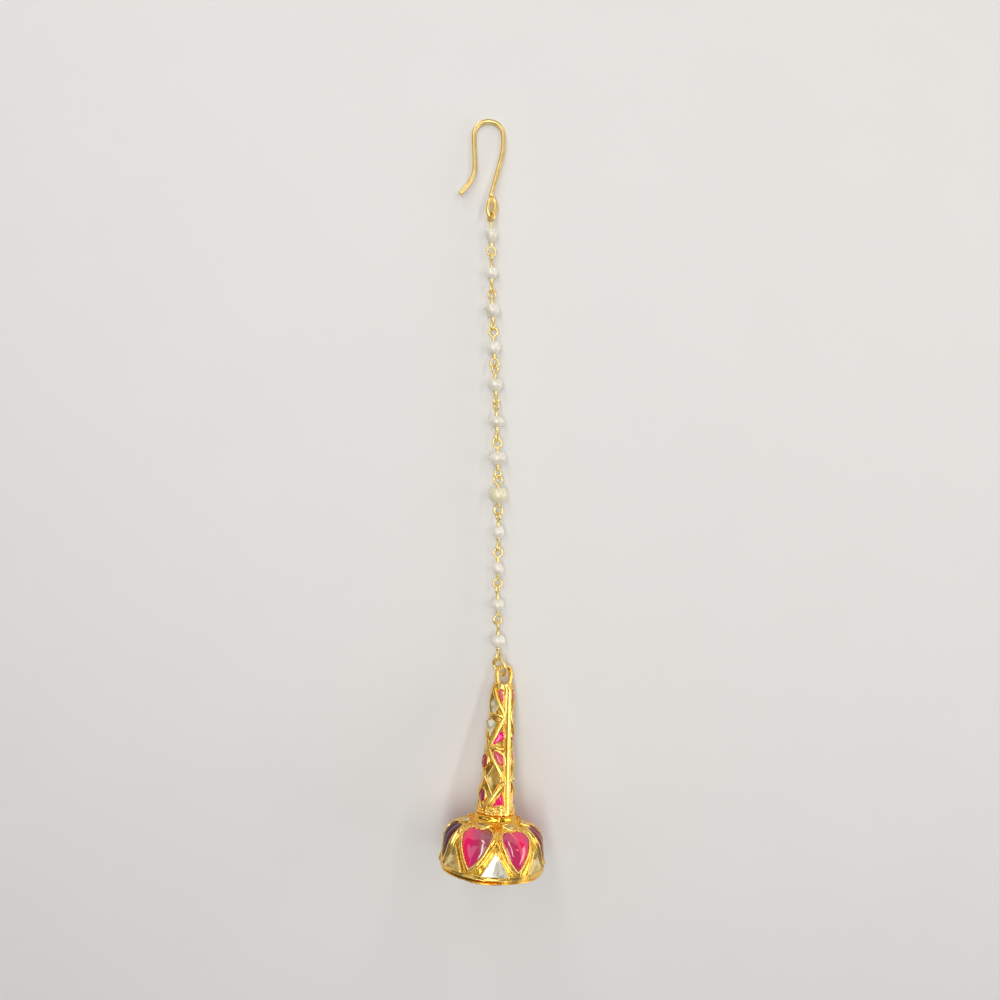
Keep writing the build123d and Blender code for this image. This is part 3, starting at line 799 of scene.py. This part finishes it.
# rows of grains: how many, how high, how far out, how large
COLLAR_ROWS = [(26, 9.95, 3.5, 0.36), (25, 10.5, 3.46, 0.34), (24, 11.02, 3.34, 0.31)]
GRAIN_SEED = 8
collar = revolve(COLLAR_SECTION, 120, waver=0.1, scale=0.5)
draw = np.random.default_rng(GRAIN_SEED).uniform
for count, height, reach, size in COLLAR_ROWS:
    for index in range(count):
        turn = (index + draw(-0.25, 0.25) + height) * 360 / count
        radius = size * draw(0.72, 1.12)
        spot = (reach + draw(-0.08, 0.06), turn, height + draw(-0.1, 0.1))
        turn += draw(-25, 25)
        bead(collar, spot, radius, turn, draw(-0.3, 0.5), draw(0.6, 0.9))
piece("collar_grains", collar, gold_polished)

CORE_FOOT, CORE_TOP, CORE_SKIN = 10.9, 32.9, 0.03
heights = np.linspace(CORE_FOOT, CORE_TOP, 90)
stem = revolve(zip(stem_radius(heights) + CORE_SKIN, heights), 110, waver=0.07, scale=0.7)
piece("stem_core", stem, gold_well, sharp=60)

CAP_SECTION = [(1.8, 32.3), (1.96, 32.42), (2.05, 32.58), (2.06, 32.74), (2.02, 32.88), (2, 33.02),
               (2.07, 33.16), (2.1, 33.34), (2.02, 33.5), (1.86, 33.6), (1.6, 33.62)]
# azimuth, height and radius of the lumps of solder on the cap
CAP_LUMPS = [(72, 33.3, 0.3), (25, 33.1, 0.24), (-58, 33.2, 0.34), (160, 33.2, 0.28), (-130, 33.3, 0.28)]
LUMP_REACH = 1.98
cap = revolve(CAP_SECTION, 96, waver=0.12, scale=0.9)
for azimuth, height, radius in CAP_LUMPS:
    bead(cap, (LUMP_REACH, azimuth, height), radius, azimuth, 0, 0.8)
piece("stem_cap", cap, gold_band)

# the bail: a half circle on two legs, of oblong wire with round edges
BAIL_LEG = np.array([(1.24, -2.1), (1.33, -1.5), (1.52, -0.8)])
bail = Shape()
middle, across, along, out = facing(BAIL_AZIMUTH, 0, CAP_TOP + BAIL_RADIUS - BAIL_SUNK)
turn = np.radians(np.linspace(-90, 90, 17))
arch = (BAIL_RADIUS - BAIL_WALL / 2) * circle(turn, (0, 1), (1, 0))
bow = smooth_path(np.vstack([BAIL_LEG * (-1, 1), arch, BAIL_LEG[::-1]]), 4)
ahead = unit(np.gradient(bow, axis=0))
normals = np.stack([-ahead[:, 1], ahead[:, 0]], 1)
angle = full_turn(20)
broad, deep = (np.sign(wave) * np.abs(wave) ** 0.75 for wave in (np.cos(angle), np.sin(angle)))
broad, deep = BAIL_WALL / 2 * broad[:, None], BAIL_DEPTH / 2 * deep[:, None]
bail.skin([middle + (x + broad * lead_x) * across + (y + broad * lead_y) * along + deep * out
           for (x, y), (lead_x, lead_y) in zip(bow, normals)])
piece("bail_ring", bail, gold_polished)

# ---- strips and lattice on the stem ----
def both_sides(half):
    return half + [(-sideways, rise) for sideways, rise in half[-2::-1]]


# sections are pairs of sideways and rise; the narrow wire runs on the strip's other side
STRIP_FOOT, STRIP_HEAD = 10, 32.6
STRIP = [(-0.72, -0.3), (-0.72, 0.34), (-0.64, 0.44), (-0.4, 0.46), (-0.18, 0.465), (0.05, 0.46),
         (0.22, 0.44), (0.28, 0.34), (0.28, -0.3)]
WIDE_WIRE = both_sides([(-0.19, -0.3), (-0.19, 0.2), (-0.11, 0.29), (0, 0.31)])
NARROW_WIRE = [(0.7 * sideways, rise - 0.08) for sideways, rise in WIDE_WIRE]
strips = Shape()
heights = np.linspace(STRIP_FOOT, STRIP_HEAD, 70)
for half_turn in (0, 180):
    for sideways, section in ((0, STRIP), (0.5, WIDE_WIRE), (-0.88, NARROW_WIRE)):
        turns = half_turn + np.degrees(sideways / stem_radius(heights))
        ribbon(strips, np.stack([turns, heights], 1), section)
piece("stem_strips", strips, gold_polished)

# courses are pairs of degrees from the strip and a height
ZIGZAG = [(-90, 32.6), (-13, 27.6), (-90, 21.5), (-13, 15.85), (-90, 10.9)]
UPPER_BAR, LOWER_BAR = [(-15, 27.5), (-90, 27.75), (-165, 27.5)], [(-90, 21.5), (-52, 21.75), (-12, 21.3)]
BAND = both_sides([(-0.44, -0.3), (-0.44, 0.22), (-0.38, 0.33), (-0.24, 0.42), (0, 0.46)])
THIN = [(0.62 * sideways, rise - 0.04) for sideways, rise in BAND]
# height and radius of the beads beside each strip
LATTICE_BEADS = [(27.5, 0.62), (21.4, 0.4), (15.9, 0.66), (31.9, 0.36), (11.3, 0.45)]
BEAD_TURN, BEAD_OFFSET, BEAD_RISE = 20, -8, 0.1
lattice = Shape()


def softened(points):
    """A zigzag with its corners eased."""
    points = np.array(points, float)
    legs = [np.linspace(start, end, 14, endpoint=False) for start, end in zip(points, points[1:])]
    course = np.vstack([*legs, points[-1:]])
    course[1:-1] = (course[:-2] + 2 * course[1:-1] + course[2:]) / 4
    return course


def mirrored(course):
    return [(-180 - azimuth, height) for azimuth, height in course]


for half_turn in (0, 180):
    for course, section in ((ZIGZAG, BAND), (mirrored(ZIGZAG), BAND), (UPPER_BAR, THIN), (LOWER_BAR, THIN),
                            (mirrored(LOWER_BAR), THIN)):
        ribbon(lattice, softened([(azimuth + half_turn, height) for azimuth, height in course]), section)
for half_turn in (0, 180):
    for side in (-1, 1):
        for height, size in LATTICE_BEADS:
            azimuth = half_turn + strip_azimuth(height) + side * BEAD_TURN + BEAD_OFFSET
            bead(lattice, (stem_radius(height) + BEAD_RISE, azimuth, height), size, azimuth, 0, 0.55)
piece("stem_lattice", lattice, gold_band)

# ---- stones and the bands that hold them ----
heart_step = 360 / HEART_COUNT
triangle_azimuths = [TRIANGLE_AZIMUTH + heart_step * step for step in range(HEART_COUNT)]
heart_azimuths = [azimuth + heart_step / 2 for azimuth in triangle_azimuths]
# how far a stone's girdle lies under its seat, and how far its edge reaches into its pocket
GIRDLE, POCKET = 0.1, 0.45
VALLEY_DEPTH, VALLEY_WIDTH, LOBE_HEIGHT, LOBE_PLACE, LOBE_WIDTH = 0.12, 0.27, 0.04, 0.42, 0.4


def cabochon(shape, seat, loop, kind, crown, radius_of=dome_radius, proud=0, form=None, tone=0.5):
    """A polished stone, in rings from its edge to its middle. form gives its rise and tone at flat points."""
    shares = np.concatenate([[1, 1, 0.985, 0.955, 0.91], np.linspace(0.85, 0.05, 15)])
    loops, tones = [], []
    for index, share in enumerate(shares):
        flat = loop * share
        swell = (1 - share ** 2.2) ** 0.62 * crown - GIRDLE if index > 1 else (-POCKET, -GIRDLE)[index]
        tint = np.full(len(loop), tone)
        if form:
            extra, tint = form(flat, share)
            swell = swell + extra * (index > 1)
        loops.append(drape(seat, flat, kind, swell, radius_of, proud))
        tones.append(tint)
    shape.skin(loops, tones=tones)


def heart_form(heart):
    """Two swelling lobes with a valley from the notch. Its tone, which is painted reflection and painted
    shade, changes from one side to the other.
    """
    where, values = zip(*heart.tones)

    def form(flat, share):
        across, along = flat[:, 0] / (heart.width / 2), flat[:, 1] / (heart.length / 2)
        side = across - heart.skew
        notch = np.clip((along + 0.55) / 1.3, 0, 1)
        valley = -VALLEY_DEPTH * np.exp(-(side / VALLEY_WIDTH) ** 2) * notch ** 1.5 * (1 - share ** 6)
        lobe = LOBE_HEIGHT * np.exp(-((np.abs(side) - LOBE_PLACE) / LOBE_WIDTH) ** 2) * (1 - share ** 4)
        return valley + lobe, np.interp(across - heart.slant * along, where, values)

    return form


def skewed(loop, half, skew):
    """The loop with its middle moved sideways and its two sides kept where they are."""
    x = loop[:, 0]
    return np.stack([x * np.where(x < 0, 1 + skew, 1 - skew) + skew * half, loop[:, 1]], 1)


def faceted(shape, seat, loop, crown, seed, tone=0.5, cuts=None):
    """A flat stone cut by a few uneven facets, which are random unless cuts gives them. The tones that cuts
    gives are painted reflection.
    """
    draw = np.random.default_rng(seed).uniform
    size = np.abs(loop).max(0)
    count = 7
    headings = (np.arange(count) + draw(-0.35, 0.35, count)) * 2 * pi / count
    reach = draw(0.1, 0.45, count)
    slopes = draw(0.35, 0.75, count)
    shares = np.concatenate([[1, 1, 0.99], np.linspace(0.95, 0.04, 16)])
    shades = tone + draw(-0.38, 0.38, count)
    if cuts:
        headings, reach, slopes, shades = np.array(cuts).T
        headings = np.radians(headings)
    loops, tones = [], []
    for index, share in enumerate(shares):
        flat = loop * share
        across, along = (flat / size).T
        facets = []
        for heading, start, slope in zip(headings, reach, slopes):
            beyond = np.maximum(0, np.cos(heading) * across + np.sin(heading) * along - start)
            facets.append(crown * (1 - beyond * slope))
        facets = np.array(facets)
        rise = facets.min(0) if index > 1 else (-POCKET, 0)[index]
        loops.append(drape(seat, flat, "plane", rise))
        tones.append(shades[facets.argmin(0)])
    shape.skin(loops, tones=tones)


frames, knots = Shape(), Shape()
HEART_BAND = [(0, "round", -0.35), (0, "across", 0.02), (0.07, "across", 0.12), (0.22, "across", 0.16),
              (0.38, "across", 0.13), (0.5, "across", 0.02), (0.58, "round", 0.14), (0.62, "round", -0.25)]
HEART_WIRE = [(far, "round", rise) for far, rise in (
    (0.7, -0.25), (0.7, 0.08), (0.75, 0.17), (0.82, 0.19), (0.89, 0.14), (0.93, 0.03), (0.93, -0.25))]
for index, (azimuth, heart) in enumerate(zip(heart_azimuths, HEARTS)):
    seat = facing(azimuth, *HEART_MIDDLE, HEART_TILT, heart.lean)
    seat = (seat[0] + heart.shift[0] * seat[1] + heart.shift[1] * seat[2], *seat[1:])
    loop = skewed(stone_outline("heart", heart.length, heart.width, 26), heart.width / 2, heart.skew)
    stone = Shape()
    cabochon(stone, seat, loop, "across", heart.crown, proud=HEART_PROUD, form=heart_form(heart))
    # hearts whose tones are painted shade get the same ruby with a weaker reflection
    material = ruby_heart_in_shade if heart.tones in (WINE_IN_PAINTED_SHADE, DUSK_IN_PAINTED_SHADE) else ruby_heart
    piece(f"ruby_heart_stone_{index + 1}", stone, material, [f"ruby_heart_{index + 1}"], sharp=80)
    collet(frames, seat, loop, HEART_BAND, proud=HEART_PROUD, floor=RIM_HEIGHT)
    collet(frames, seat, loop, HEART_WIRE, floor=RIM_HEIGHT)

width, length, middle, tilt, proud = TRIANGLE
TRIANGLE_BAND = [(0, "round", -0.35), (0, "plane", proud + 0.02), (0.05, "plane", proud + 0.09),
                 (0.13, "plane", proud + 0.08), (0.22, "round", 0.26), (0.3, "round", 0.14),
                 (0.34, "round", -0.25)]
# facets of the front and side triangles: heading, where it starts, slope, tone; the tones are painted
# reflection, light on some facets and grey on others
FRONT_CUTS = [(180, 0.05, 0.45, 0), (-12, -0.02, 0.85, 0.86), (-55, 0.3, 0.6, 0.7),
              (95, 0.28, 0.8, 0.12), (150, 0.45, 0.8, 0.5), (-90, 0.55, 0.6, 0.1)]
SIDE_CUTS = [(175, 0.15, 0.6, 0.15), (10, 0.1, 0.7, 0.3), (-80, 0.35, 0.6, 0.55), (90, 0.2, 0.7, 0.85)]
CUTS = {0: FRONT_CUTS, 1: SIDE_CUTS, 6: SIDE_CUTS}
# a crown is how high a stone's top stands over its seat
TRIANGLE_SEED, TRIANGLE_CROWN = 11, proud + 0.12
for index, azimuth in enumerate(triangle_azimuths):
    # the front triangle is clear; the others wear a painted reflection of the gold around them
    if index == 0:
        loop, material = stone_outline("triangle", *FRONT_TRIANGLE[::-1], 18), polki_clear
    else:
        loop, material = stone_outline("triangle", length, width, 18), polki_gold_reflection
    seat = facing(azimuth, *middle, tilt)
    stone = Shape()
    faceted(stone, seat, loop, TRIANGLE_CROWN, TRIANGLE_SEED + index, cuts=CUTS.get(index))
    piece(f"polki_triangle_stone_{index + 1}", stone, material, [f"polki_triangle_{index + 1}"],
          sharp=20)
    collet(frames, seat, loop, TRIANGLE_BAND)

width, length, middle, tilt, proud = SHOULDER
SHOULDER_BAND = [(0, "round", -0.25), (0, "plane", proud), (0.06, "plane", proud + 0.06),
                 (0.16, "plane", proud + 0.05), (0.24, "round", 0.12), (0.27, "round", -0.2)]
SHOULDER_SEED, SHOULDER_CROWN = 31, proud + 0.06
loop = stone_outline("kite", length, width, 12)
shoulder_stones = Shape()
for index, azimuth in enumerate(heart_azimuths):
    seat = facing(azimuth, *middle, tilt)
    faceted(shoulder_stones, seat, loop, SHOULDER_CROWN, SHOULDER_SEED + index)
    collet(frames, seat, loop, SHOULDER_BAND)
piece("shoulder_stones", shoulder_stones, polki_gold_reflection, ["shoulder_polki"], sharp=20)
piece("dome_frames", frames, gold_band, sharp=75)

# between two hearts: a knot on the dome's shoulder, and three beads under it as radius, height and size
KNOT_PLACE, KNOT_TILT, KNOT_LENGTH, KNOT_WIDTH, KNOT_CROWN = (6.9, 7.45), 58, 1.5, 1.25, 0.34
KNOT_BEADS = [(8.1, 6.35, 0.26), (7.6, 6.95, 0.2), (8.5, 5.8, 0.18)]
loop = stone_outline("rhomb", KNOT_LENGTH, KNOT_WIDTH, 8)
for azimuth in triangle_azimuths:
    cabochon(knots, facing(azimuth, *KNOT_PLACE, KNOT_TILT), loop, "round", KNOT_CROWN)
    for radius, height, size in KNOT_BEADS:
        bead(knots, (radius, azimuth, height), size, azimuth, 0.5, 0.8)
piece("dome_knots", knots, gold_polished)

STEM_BAND = [(0, "round", -0.35), (0, "plane", 0.06), (0.04, "plane", 0.14), (0.1, "plane", 0.15),
             (0.17, "plane", 0.09), (0.22, "round", 0.1), (0.24, "round", -0.25)]
stem_collets = Shape()
for node in sorted({stone.node for stone in STEM_STONES}):
    stones = Shape()
    for stone in (stone for stone in STEM_STONES if stone.node == node):
        reach = stem_radius(stone.height) + stone.lift
        for side in ((1, -1) if stone.mirrored else (1,)):
            loop = stone_outline(stone.shape, stone.length, side * stone.width, 12)
            for half_turn in (0, 180):
                azimuth = strip_azimuth(stone.height) + side * stone.around + half_turn
                seat = facing(azimuth, reach, stone.height, STEM_TAPER, side * stone.lean)
                if "ruby" in node:
                    cabochon(stones, seat, loop, "plane", RUBY_CROWN, stem_radius, tone=stone.tone)
                else:
                    seed = int(stone.height * 10) + half_turn
                    faceted(stones, seat, loop, POLKI_CROWN, seed, stone.tone)
                collet(stem_collets, seat, loop, STEM_BAND, stem_radius)
    if "ruby" in node:
        piece(f"set_{node}", stones, ruby_small, [f"stem_{node}"], sharp=80)
    else:
        material = polki_foil if "rhomb" in node else polki_stem
        piece(f"set_{node}", stones, material, [f"stem_{node}"], sharp=20)
piece("stem_collets", stem_collets, gold_band, sharp=50)

# ---- floor, light and camera ----
backdrop = Nodes("floor_pale")
PALE_STOPS = [(0.3, (0.815, 0.808, 0.79)), (0.7, (0.825, 0.818, 0.8))]
backdrop.set(Roughness=0.9, Base_Color=backdrop.ramp(backdrop.noise(0.05), PALE_STOPS))
floor_mesh = bpy.data.meshes.new("floor")
# half the floor's width, and its level, in metres
SPAN, LEVEL = 0.55, -0.00002
corners = [(-SPAN, -SPAN, LEVEL), (SPAN, -SPAN, LEVEL), (SPAN, SPAN, LEVEL), (-SPAN, SPAN, LEVEL)]
floor_mesh.from_pydata(corners, [], [(0, 1, 2, 3)])
floor_mesh.materials.append(backdrop.material)
floor = add_object("floor", floor_mesh)
floor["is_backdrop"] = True

# how bright the world is as a light, and as the camera sees it
WORLD_LIGHT, WORLD_SEEN = 0.17, 0.8
world = bpy.data.worlds.new("studio")
world.use_nodes = True
sky = world.node_tree
sky.nodes["Background"].inputs["Color"].default_value = (0.98, 0.98, 1, 1)
seen = sky.nodes.new("ShaderNodeMapRange")
sky.links.new(sky.nodes.new("ShaderNodeLightPath").outputs["Is Camera Ray"], seen.inputs["Value"])
seen.inputs["To Min"].default_value, seen.inputs["To Max"].default_value = WORLD_LIGHT, WORLD_SEEN
sky.links.new(seen.outputs["Result"], sky.nodes["Background"].inputs["Strength"])
bpy.context.scene.world = world

WARM, DOME = (1, 0.98, 0.95), (0, -0.064, 0.008)
# a lamp shines from its place to its goal, and its length runs along a direction; in metres and watts
Lamp = namedtuple("Lamp", "name place goal along width length power color", defaults=[WARM])
LAMPS = [
    Lamp("streak_left", (-0.078, 0.095, 0.308), (-0.078, 0.095, 0), (-0.133, 0.545, 0), 0.044, 0.56, 0.46),
    Lamp("streak_left_low", (-0.118, 0.37, 0.17), DOME, (0.03, 0, 0.28), 0.04, 0.27, 0.2),
    Lamp("streak_right", (0.252, 0.196, 0.308), (0.252, 0.196, 0), (0.131, 0.556, 0), 0.044, 0.57, 0.46),
    Lamp("streak_right_low", (0.275, 0.452, 0.167), DOME, (0.09, 0.02, 0.28), 0.04, 0.3, 0.22),
    Lamp("side", (0.42, -0.05, 0.11), (0, -0.05, 0.02), (0, 1, 0), 0.14, 0.3, 0.45),
    Lamp("fill", (-0.34, 0.05, 0.3), (0, -0.03, 0), (0, 1, 0), 0.2, 0.4, 0.2, (0.97, 0.98, 1)),
    Lamp("top", (0.03, 0, 0.5), (0, -0.02, 0), (0, 1, 0), 0.2, 0.4, 0.46, (1, 0.98, 0.96)),
]
for lamp in LAMPS:
    light = bpy.data.lights.new(lamp.name, "AREA")
    light.shape, light.size, light.size_y = "RECTANGLE", lamp.width, lamp.length
    light.energy, light.color = lamp.power, lamp.color
    back = (Vector(lamp.place) - Vector(lamp.goal)).normalized()
    along = Vector(lamp.along)
    along = (along - along.dot(back) * back).normalized()
    obj = add_object(lamp.name, light)
    obj.location = lamp.place
    obj.rotation_euler = Matrix((along.cross(back), along, back)).transposed().to_euler()

# HALF_WIDTH is half of what the view takes in at its aim, in mm
HALF_VIEW, VIEW_TILT, AIM, HALF_WIDTH = radians(35.5), radians(2), np.array([1.5, -1.55, 0]), 100
reach = HALF_WIDTH / tan(HALF_VIEW)
camera = bpy.data.cameras.new("camera")
camera.sensor_fit, camera.angle, camera.clip_start = "HORIZONTAL", 2 * HALF_VIEW, 0.005
view = add_object("camera", camera)
view.location = Vector((AIM + reach * np.array([0, sin(VIEW_TILT), cos(VIEW_TILT)])) * MM)
view.rotation_euler = (-VIEW_TILT, 0, 0)
bpy.context.scene.camera = view
bpy.context.scene.view_settings.view_transform = "Standard"

low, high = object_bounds()
